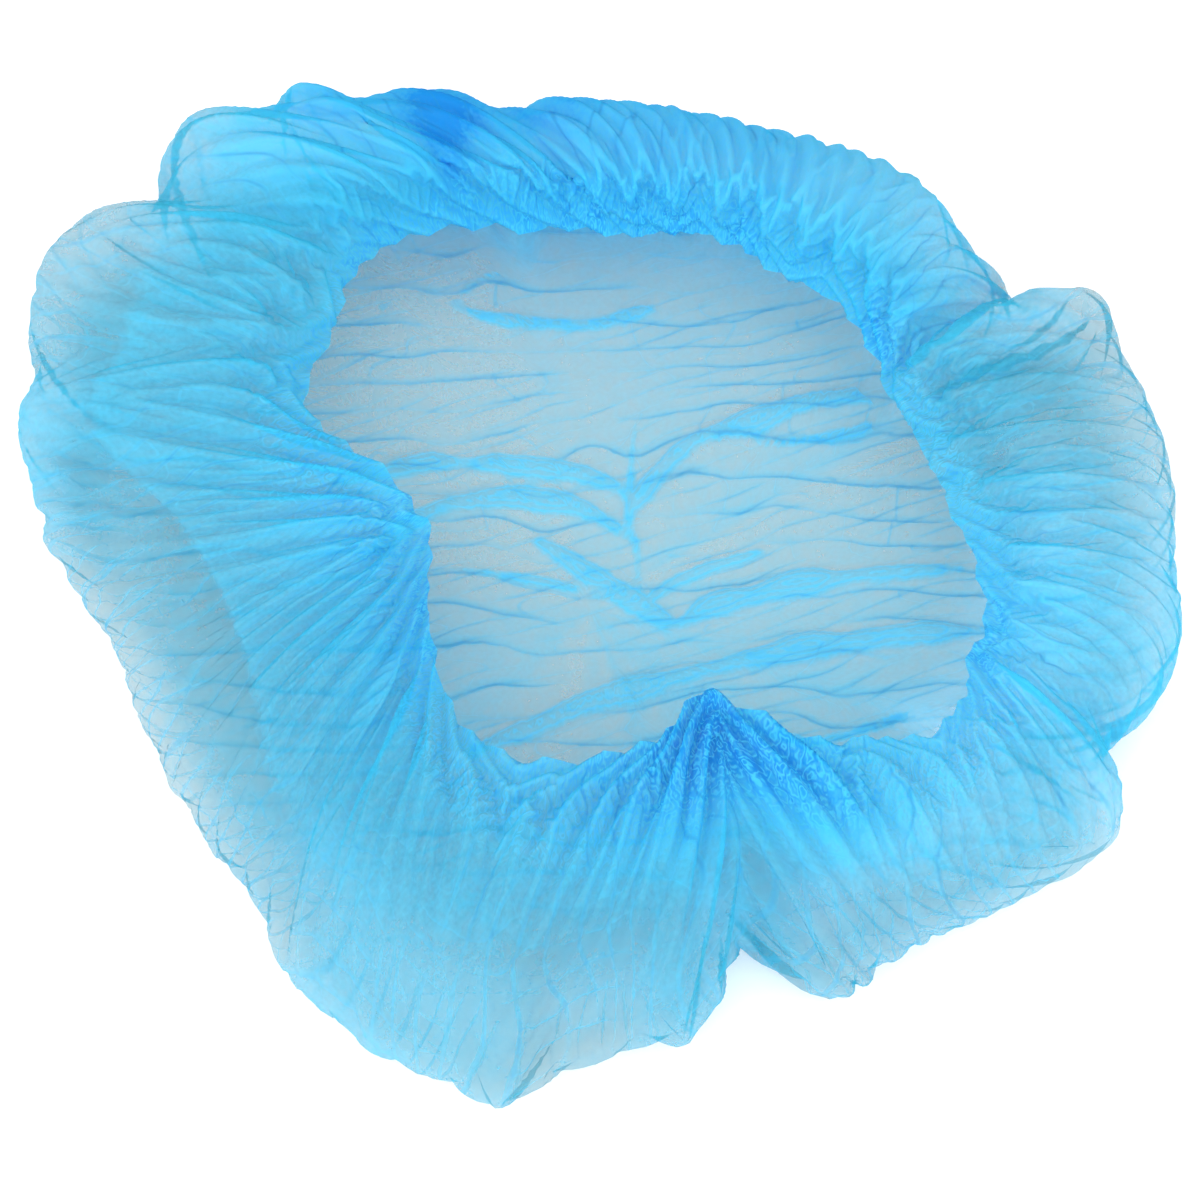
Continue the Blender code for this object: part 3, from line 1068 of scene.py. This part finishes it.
    def build(self) -> bpy.types.Object:
        """Make the crown's mesh.

        Returns:
            The crown's object, with its material coordinates as a UV map.
        """
        self.lay_out_rings()
        self.form_surface()
        self.stir_surface()
        self.settle()
        self.add_floor_folds()
        self.marks.update(LayerPattern().marks(self))
        self.marks.update(CreasePattern().marks(self))
        return self.make_mesh()

    def make_mesh(self) -> bpy.types.Object:
        """Join the rings into one mesh, with fewer columns near the middle.

        Returns:
            The cloth's object.
        """
        flat = flat_rings(self.radii, self.columns)
        starts, places, flats = [], [self.points[0].mean(axis=0)[None]], [np.zeros((1, 2))]
        marks = {name: [values[:1].mean(keepdims=True)[0]] for name, values in self.marks.items()}
        total = 1
        for row, stride in enumerate(self.strides):
            starts.append(total)
            places.append(self.points[row, ::stride])
            flats.append(flat[row, ::stride])
            for name, values in self.marks.items():
                marks[name].append(values[row, ::stride])
            total += self.columns // stride
        return make_cloth(
            "crown_cloth",
            np.concatenate(places),
            self.join_rings(starts),
            np.concatenate(flats),
            self.disc_radius,
            {name: np.concatenate(values) for name, values in marks.items()},
        )

    def join_rings(self, starts: list[int]) -> Faces:
        """The faces between the rings, and the fan at the middle.

        Args:
            starts: the first vertex of each ring.

        Returns:
            The faces, with their outer side away from the hollow.
        """
        first = self.columns // self.strides[0]
        faces = [(0, starts[0] + (at + 1) % first, starts[0] + at) for at in range(first)]
        for row in range(len(self.strides) - 1):
            inner, outer = self.columns // self.strides[row], self.columns // self.strides[row + 1]
            low, high = starts[row], starts[row + 1]
            for at in range(inner):
                after = (at + 1) % inner
                if inner == outer:
                    faces.append((low + at, low + after, high + after, high + at))
                else:
                    left, right = high + 2 * at, high + (2 * at + 2) % outer
                    faces.append((low + at, left + 1, left))
                    faces.append((low + at, low + after, left + 1))
                    faces.append((low + after, right, left + 1))
        return faces

    def dress(self, piece: bpy.types.Object, finish: "Nonwoven") -> None:
        """Give the crown its cloth and say what it stands for."""
        piece.data.materials.append(finish.make())
        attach(piece, "root")
        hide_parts("crown")


@dataclass
class ElasticHem:
    """The gathered casing round the mouth, with the elastic hidden inside it."""

    width: float = 0.0060
    thickness: float = 0.0012
    gap: float = 0.0003  # from the crown's edge, so that the two don't overlap
    sides: int = 12
    crumple: float = 0.0007
    sideways: float = 0.4
    density: float = 1.3
    inner_ring: int = -8
    smoothing: int = 400
    ripples: Ripples = Ripples(71, 1.0, 6, 320)
    sways: Ripples = Ripples(72, 1.0, 3, 182)

    def build(self, crown: Crown) -> bpy.types.Object:
        """Make the casing along the crown's last ring, in the same gathers.

        Args:
            crown: the crown, whose edge the casing follows.

        Returns:
            The hem's object, with the cloth's coordinates and marks.
        """
        edge = crown.points[-1]
        count = len(edge)
        smooth = blurred(np.stack((crown.points[self.inner_ring], edge)), self.smoothing)
        ahead = unit(smooth[1] - smooth[0])
        along = np.roll(edge, -2, axis=0) - np.roll(edge, 2, axis=0)
        up = unit(blurred(unit(np.cross(ahead, along))[None], 3)[0])
        ripple, sway = self.ripples.over(self.sides, count), self.sways.over(self.sides, count)
        points, faces = [], []
        for side in range(self.sides):
            swing = 2.0 * math.pi * side / self.sides
            forward = self.gap + 0.5 * self.width * (1.0 + math.cos(swing))
            forward = forward + self.sideways * self.crumple * sway[side]
            swell = 0.5 * self.thickness * math.sin(swing) + self.crumple * ripple[side]
            points.append(edge + ahead * forward[:, None] + up * swell[:, None])
            start, over = side * count, ((side + 1) % self.sides) * count
            for at in range(count):
                after = (at + 1) % count
                faces.append((start + at, start + after, over + after, over + at))
        out = crown.disc_radius + 0.5 * self.width * (1.0 + np.cos(around(self.sides)))
        marks = {"layers": self.density, "crinkle": 1.0, "band": OUTSIDE, "tuck": -TUCK_LIMIT, "rays": 1.0}
        return make_cloth(
            "hem_casing",
            np.concatenate(points),
            faces,
            flat_rings(out, count).reshape(-1, 2),
            crown.disc_radius,
            {name: np.full(self.sides * count, value) for name, value in marks.items()},
        )

    def dress(self, piece: bpy.types.Object, finish: "Nonwoven") -> None:
        """Give the hem its cloth and say what it stands for."""
        piece.data.materials.append(finish.make())
        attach(piece, "root")
        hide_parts("elastic_hem")


def linear(colour: str) -> tuple[float, float, float, float]:
    """Turn an sRGB hex colour into linear red, green, blue and alpha."""
    parts = (int(colour[at : at + 2], 16) / 255.0 for at in (1, 3, 5))
    return (*(part / 12.92 if part <= 0.04045 else ((part + 0.055) / 1.055) ** 2.4 for part in parts), 1.0)


def add_node(
    tree: bpy.types.NodeTree, kind: str, inputs: tuple | dict = (), out: int | str = 0, **settings: object
) -> Socket | None:
    """Add one node to a tree.

    Args:
        tree: the node tree.
        kind: the node's type name, without its ShaderNode.
        inputs: sockets to link and values to set, in order, or by the input's name or index.
        out: the output to hand back, by name or index.
        settings: properties of the node.

    Returns:
        The output, or nothing for a node that has none.
    """
    node = tree.nodes.new("ShaderNode" + kind)
    for name, value in settings.items():
        setattr(node, name, value)
    for name, value in inputs.items() if isinstance(inputs, dict) else enumerate(inputs):
        if isinstance(value, Socket):
            tree.links.new(value, node.inputs[name])
        else:
            node.inputs[name].default_value = value
    return node.outputs[out] if node.outputs else None


@dataclass(frozen=True)
class Nonwoven:
    """Spunbond polypropylene: a thin felt of bonded fibres, milky and see-through.

    It gives the eye a film of flecked light blue that the ground shines through, deeper where
    it doubles or creases, and with painted shade along each crease. The UV map is the flat
    disc, sheet_size millimetres across, so the patterns have their real size in cloth. The
    fibres are about 0.02 mm across, too fine to show in the render, so fibre_size and
    cloud_size draw them as coarse as they need to show.
    """

    name: str = "spunbond_nonwoven"
    thin_colour: str = "#4AD8FF"
    deep_colour: str = "#1C9BE8"
    # painted shade: creases are tinted towards this darker blue, as the shade that lies in a fold
    crease_shade_colour: str = "#2E9FD0"
    gap_colour: str = "#F1EFEC"
    # painted shade: the gaps show the ground through this darker, warmer tint where the shaded mark is high
    shaded_gap_colour: str = "#DBD1C8"
    cover: float = 0.32
    through: float = 0.4
    roughness: float = 0.9
    shine: float = 0.2
    sheet_size: float = 556.5
    fibre_size: float = 0.8
    cloud_size: float = 3.2
    crinkle_size: float = 3.2
    detail: float = 2.0
    flecks: Ramp = Ramp(0.6, 1.4, 0.84, 1.16)
    ridge_bands: float = 6.0
    # added layers in the crinkle's pits: partly the gathered cloth, partly painted shade
    pit_layers_and_shade: Ramp = Ramp(0.05, 0.30, 1.7, 0.0)
    # painted highlight: the crinkle's ridges are drawn lighter
    ridge_highlight: Ramp = Ramp(0.32, 0.45, 0.0, -0.9)
    deep_layers: Ramp = Ramp(2.6, 7.0)
    # how far a crease goes towards the crease shade colour: painted shade along the fold
    crease_shade_ramp: Ramp = Ramp(0.3, 1.8, 0.0, 0.8)
    crease_edge: Ramp = Ramp(0.3 * 0.050, 0.050, 1.1, 0.0)
    crease_side: Ramp = Ramp(0.0, 0.25, 0.8, 0.0)
    crease_shake: float = 0.10
    ray_count: float = 118.0
    ray_line: Ramp = Ramp(0.01, 0.10, 1.4, 0.0)
    cross_gap: float = 29.0
    cross_offset: float = 0.35
    cross_line: Ramp = Ramp(0.006, 0.018, 0.7, 0.0)
    fold_ragged: float = 1.6
    fold_edge: Ramp = Ramp(0.4, 1.0)
    fold_pleats: float = 0.58
    pleat_layers: Ramp = Ramp(0.0, 0.3, 2.4, 0.7)
    tuck_ragged: float = 1.0
    tuck_edge: Ramp = Ramp(-0.5, 1.5)

    def make(self) -> bpy.types.Material:
        """Build the material.

        Returns:
            The cloth's material.
        """
        made = bpy.data.materials.new(self.name)
        made.use_nodes = True
        made.node_tree.nodes.clear()
        add = partial(add_node, made.node_tree)
        names = "layers crinkle band tuck inner shaded row worn slant fresh rays bend".split()
        marks = {name: add("Attribute", out="Fac", attribute_name=name) for name in names}
        sheet = add("UVMap", out="UV", uv_map="disc")
        cloud, fibre, ridges = (
            add(
                "TexNoise",
                {"Vector": sheet, "Scale": self.sheet_size / (2.0 * size), "Detail": self.detail},
                noise_dimensions="2D",
            )
            for size in (self.cloud_size, self.fibre_size, self.crinkle_size)
        )
        ridges = add("Math", (ridges, self.ridge_bands), operation="MULTIPLY")
        ridges = add("Math", (ridges, TO_WHOLE), operation="PINGPONG")
        lines = self.rays(add, sheet, marks)
        for more in (
            self.creases(add, marks["row"], marks["worn"], cloud),
            self.creases(add, marks["slant"], marks["fresh"], cloud),
            self.crossings(add, sheet, marks),
        ):
            lines = add("Math", (more, lines), operation="ADD")
        layers = self.layers(add, marks, cloud, ridges)
        lined = add("Math", (lines, layers), operation="ADD")
        uneven = add("Math", (cloud, fibre), operation="ADD")
        uneven = add("MapRange", (uneven, *self.flecks))
        thick = add("Math", (lined, uneven), operation="MULTIPLY")
        colour = self.tint(add, thick, lines, ridges, marks["crinkle"])
        dull = {"Base Color": colour, "Roughness": self.roughness, "Specular IOR Level": self.shine}
        front = add("BsdfPrincipled", dull)
        through = add("BsdfTranslucent", {"Color": colour})
        cloth = add("MixShader", (self.through, front, through))
        # Painted shade: by the shaded mark, the gaps take the darker shaded gap colour under the cap, behind
        # and at the rim.
        gap_colours = {0: marks["shaded"], 6: linear(self.gap_colour), 7: linear(self.shaded_gap_colour)}
        gaps = add("BsdfTransparent", {"Color": add("Mix", gap_colours, 2, data_type="RGBA")})
        clear = add("Math", (1.0 - self.cover, thick), operation="POWER")
        surface = add("MixShader", (clear, cloth, gaps))
        add("OutputMaterial", {"Surface": surface})
        return made

    def tint(self, add: Adder, thick: Socket, lines: Socket, ridges: Socket, crinkle: Socket) -> Socket:
        """The colour of the cloth.

        Args:
            add: adds a node to the material's tree.
            thick: how many layers the cloth stands for.
            lines: how much of that is creases.
            ridges: from 0 in the pits of the hem's fine crinkle to 0.5 on its ridges, which get a painted
                highlight.
            crinkle: where that crinkle is.

        Returns:
            The colour, deeper in thick cloth, darker along a crease by painted shade, and lighter on the
            crinkle's ridges by a painted highlight.
        """
        depth = add("MapRange", (thick, *self.deep_layers))
        # Painted highlight: the crinkle's ridges are lightened towards the thin colour.
        ridge_light = add("MapRange", (ridges, *self.ridge_highlight))
        depth = add("Math", (ridge_light, crinkle, depth), operation="MULTIPLY_ADD", use_clamp=True)
        # Painted shade along the creases: drawn mixes in the darker crease shade colour.
        drawn = add("MapRange", (lines, *self.crease_shade_ramp))
        colour = {0: depth, 6: linear(self.thin_colour), 7: linear(self.deep_colour)}
        colour = add("Mix", colour, 2, data_type="RGBA")
        return add("Mix", {0: drawn, 6: colour, 7: linear(self.crease_shade_colour)}, 2, data_type="RGBA")

    def rays(self, add: Adder, sheet: Socket, marks: dict[str, Socket]) -> Socket:
        """Thin creases that run from the hem out over the puff and round its rim.

        Args:
            add: adds a node to the material's tree.
            sheet: the place on the flat disc.
            marks: the mesh's marks by name.

        Returns:
            How much thicker the creases make the cloth.
        """
        middle = add("VectorMath", (sheet, (0.5, 0.5, 0.0)), operation="SUBTRACT")
        turn = add("TexGradient", (middle,), 1, gradient_type="RADIAL")
        place = add("Math", (turn, self.ray_count, marks["bend"]), operation="MULTIPLY_ADD")
        near = add("Math", (place, TO_WHOLE), operation="PINGPONG")
        line = add("MapRange", (near, *self.ray_line))
        return add("Math", (line, marks["rays"]), operation="MULTIPLY")

    def creases(self, add: Adder, row: Socket, worn: Socket, cloud: Socket) -> Socket:
        """One family of packing creases: wavy folds with a sharp edge and a soft side.

        Args:
            add: adds a node to the material's tree.
            row: the number of the crease, whole at each crease.
            worn: how strong the creases are at each place.
            cloud: the uneven lay of the fibres.

        Returns:
            How much thicker the creases make the cloth.
        """
        place = add("Math", (cloud, self.crease_shake, row), operation="MULTIPLY_ADD")
        near = add("Math", (place, TO_WHOLE), operation="PINGPONG")
        edge = add("MapRange", (near, *self.crease_edge))
        side = add("Math", (place,), operation="FRACT")
        side = add("MapRange", (side, *self.crease_side))
        both = add("Math", (edge, side), operation="ADD")
        return add("Math", (both, worn), operation="MULTIPLY")

    def crossings(self, add: Adder, sheet: Socket, marks: dict[str, Socket]) -> Socket:
        """Faint short creases that cross between the long ones.

        Args:
            add: adds a node to the material's tree.
            sheet: the place on the flat disc.
            marks: the mesh's marks by name.

        Returns:
            How much thicker the creases make the cloth.
        """
        across = add("SeparateXYZ", (sheet,))
        number = add("Math", (marks["row"],), operation="FLOOR")
        offset = add("TexWhiteNoise", {"W": number}, noise_dimensions="1D")
        offset = add("Math", (offset, self.cross_offset, marks["worn"]), operation="MULTIPLY_ADD")
        crossings = add("Math", (across, self.sheet_size / self.cross_gap, offset), operation="MULTIPLY_ADD")
        crossings = add("Math", (crossings, TO_WHOLE), operation="PINGPONG")
        crossings = add("MapRange", (crossings, *self.cross_line))
        return add("Math", (crossings, marks["worn"]), operation="MULTIPLY")

    def layers(self, add: Adder, marks: dict[str, Socket], cloud: Socket, ridges: Socket) -> Socket:
        """How many layers of cloth a place stands for, before the creases.

        Args:
            add: adds a node to the material's tree.
            marks: the mesh's marks by name.
            cloud: the uneven lay of the fibres.
            ridges: from 0 in the pits of the hem's fine crinkle to 0.5 on its ridges; the pits get added
                layers that are partly gathered cloth and partly painted shade.

        Returns:
            The thickness, where 1 is a single flat layer.
        """
        ragged = add("Math", (cloud, self.fold_ragged, marks["band"]), operation="MULTIPLY_ADD")
        folded = add("MapRange", (ragged, *self.fold_edge))
        pleats = add("Math", (ragged, self.fold_pleats), operation="MULTIPLY")
        pleats = add("Math", (pleats, TO_WHOLE), operation="PINGPONG")
        pleats = add("MapRange", (pleats, *self.pleat_layers))
        folded = add("Math", (folded, pleats), operation="MULTIPLY")
        edge = add("Math", (cloud, self.tuck_ragged, marks["tuck"]), operation="MULTIPLY_ADD")
        doubled = add("MapRange", (edge, *self.tuck_edge))
        # The crinkle's pits get added layers: partly gathered cloth, partly painted shade.
        ridges = add("MapRange", (ridges, *self.pit_layers_and_shade))
        total = add("Math", (ridges, marks["crinkle"], folded), operation="MULTIPLY_ADD")
        total = add("Math", (doubled, marks["inner"], total), operation="MULTIPLY_ADD")
        return add("Math", (total, marks["layers"]), operation="ADD")


@dataclass(frozen=True)
class PaleFloor:
    """A matt white painted board: a plain, even ground with nothing on it but the soft shadow."""

    name: str = "matt_white_board"
    colour: str = "#FFFFFF"
    roughness: float = 0.9

    def make(self) -> bpy.types.Material:
        """Build the material."""
        made = bpy.data.materials.new(self.name)
        made.use_nodes = True
        surface = made.node_tree.nodes["Principled BSDF"]
        surface.inputs["Base Color"].default_value = linear(self.colour)
        surface.inputs["Roughness"].default_value = self.roughness
        return made


@dataclass
class Studio:
    """The floor, the soft light and the camera."""

    elevation: float = 60.0
    distance: float = 1.1875
    target: tuple[float, float, float] = (0.0027, -0.0133, 0.0234)
    lens: float = 119.0
    sensor: float = 36.0
    floor_size: float = 6.0
    light_from: tuple[float, float, float] = (-0.25, -0.87, 0.43)  # front left, a little raised
    glow: Ramp = Ramp(-1.0, 1.0, 0.0, 2.4)
    bounces: int = 6
    diffuse_bounces: int = 3
    layers_seen_through: int = 16  # gathers lie many deep, and each is see-through

    def build_floor(self) -> None:
        """Lay a plain pale floor under the cap."""
        bpy.ops.mesh.primitive_plane_add(size=self.floor_size, location=(0.0, 0.0, 0.0))
        floor = bpy.context.active_object
        floor.name = "floor"
        floor.data.materials.append(PaleFloor().make())

    def build_light(self) -> None:
        """Light the room by one large soft glow, brightest above the front."""
        world = bpy.data.worlds.new("soft_room")
        bpy.context.scene.world = world
        world.use_nodes = True
        world.cycles.sampling_method = "NONE"
        tree = world.node_tree
        direction = add_node(tree, "TexCoord", out="Generated")
        towards = add_node(tree, "VectorMath", (direction, self.light_from), "Value", operation="DOT_PRODUCT")
        glow = add_node(tree, "MapRange", (towards, *self.glow))
        sky = tree.nodes["Background"]
        sky.inputs["Color"].default_value = (1.0, 1.0, 1.0, 1.0)
        tree.links.new(glow, sky.inputs["Strength"])

    def build_camera(self) -> None:
        """Stand the camera in front of the cap, looking down at the photograph's angle."""
        tilt = math.radians(self.elevation)
        back = Vector((0.0, -math.cos(tilt), math.sin(tilt)))
        data = bpy.data.cameras.new("camera")
        data.lens = self.lens
        data.sensor_width = self.sensor
        camera = bpy.data.objects.new("camera", data)
        bpy.context.scene.collection.objects.link(camera)
        camera.location = Vector(self.target) + back * self.distance
        camera.rotation_euler = (-back).to_track_quat("-Z", "Y").to_euler()
        bpy.context.scene.camera = camera

    def build(self) -> None:
        """Build the floor, the light and the camera."""
        self.build_camera()
        self.build_floor()
        self.build_light()
        scene = bpy.context.scene
        scene.view_settings.view_transform = "Standard"
        scene.cycles.max_bounces = self.bounces
        scene.cycles.diffuse_bounces = self.diffuse_bounces
        scene.cycles.transparent_max_bounces = self.layers_seen_through


def main() -> None:
    """Build the cap and its studio, and log each cloth piece's vertex and face counts."""
    logging.basicConfig(level=logging.INFO)
    bpy.ops.object.select_all(action="DESELECT")
    Studio().build()
    crown = Crown(CapForm())
    cloth = crown.build()
    crown.dress(cloth, Nonwoven())
    hem = ElasticHem()
    casing = hem.build(crown)
    hem.dress(casing, Nonwoven(name="gathered_nonwoven_casing"))


if __name__ == "__main__":
    main()
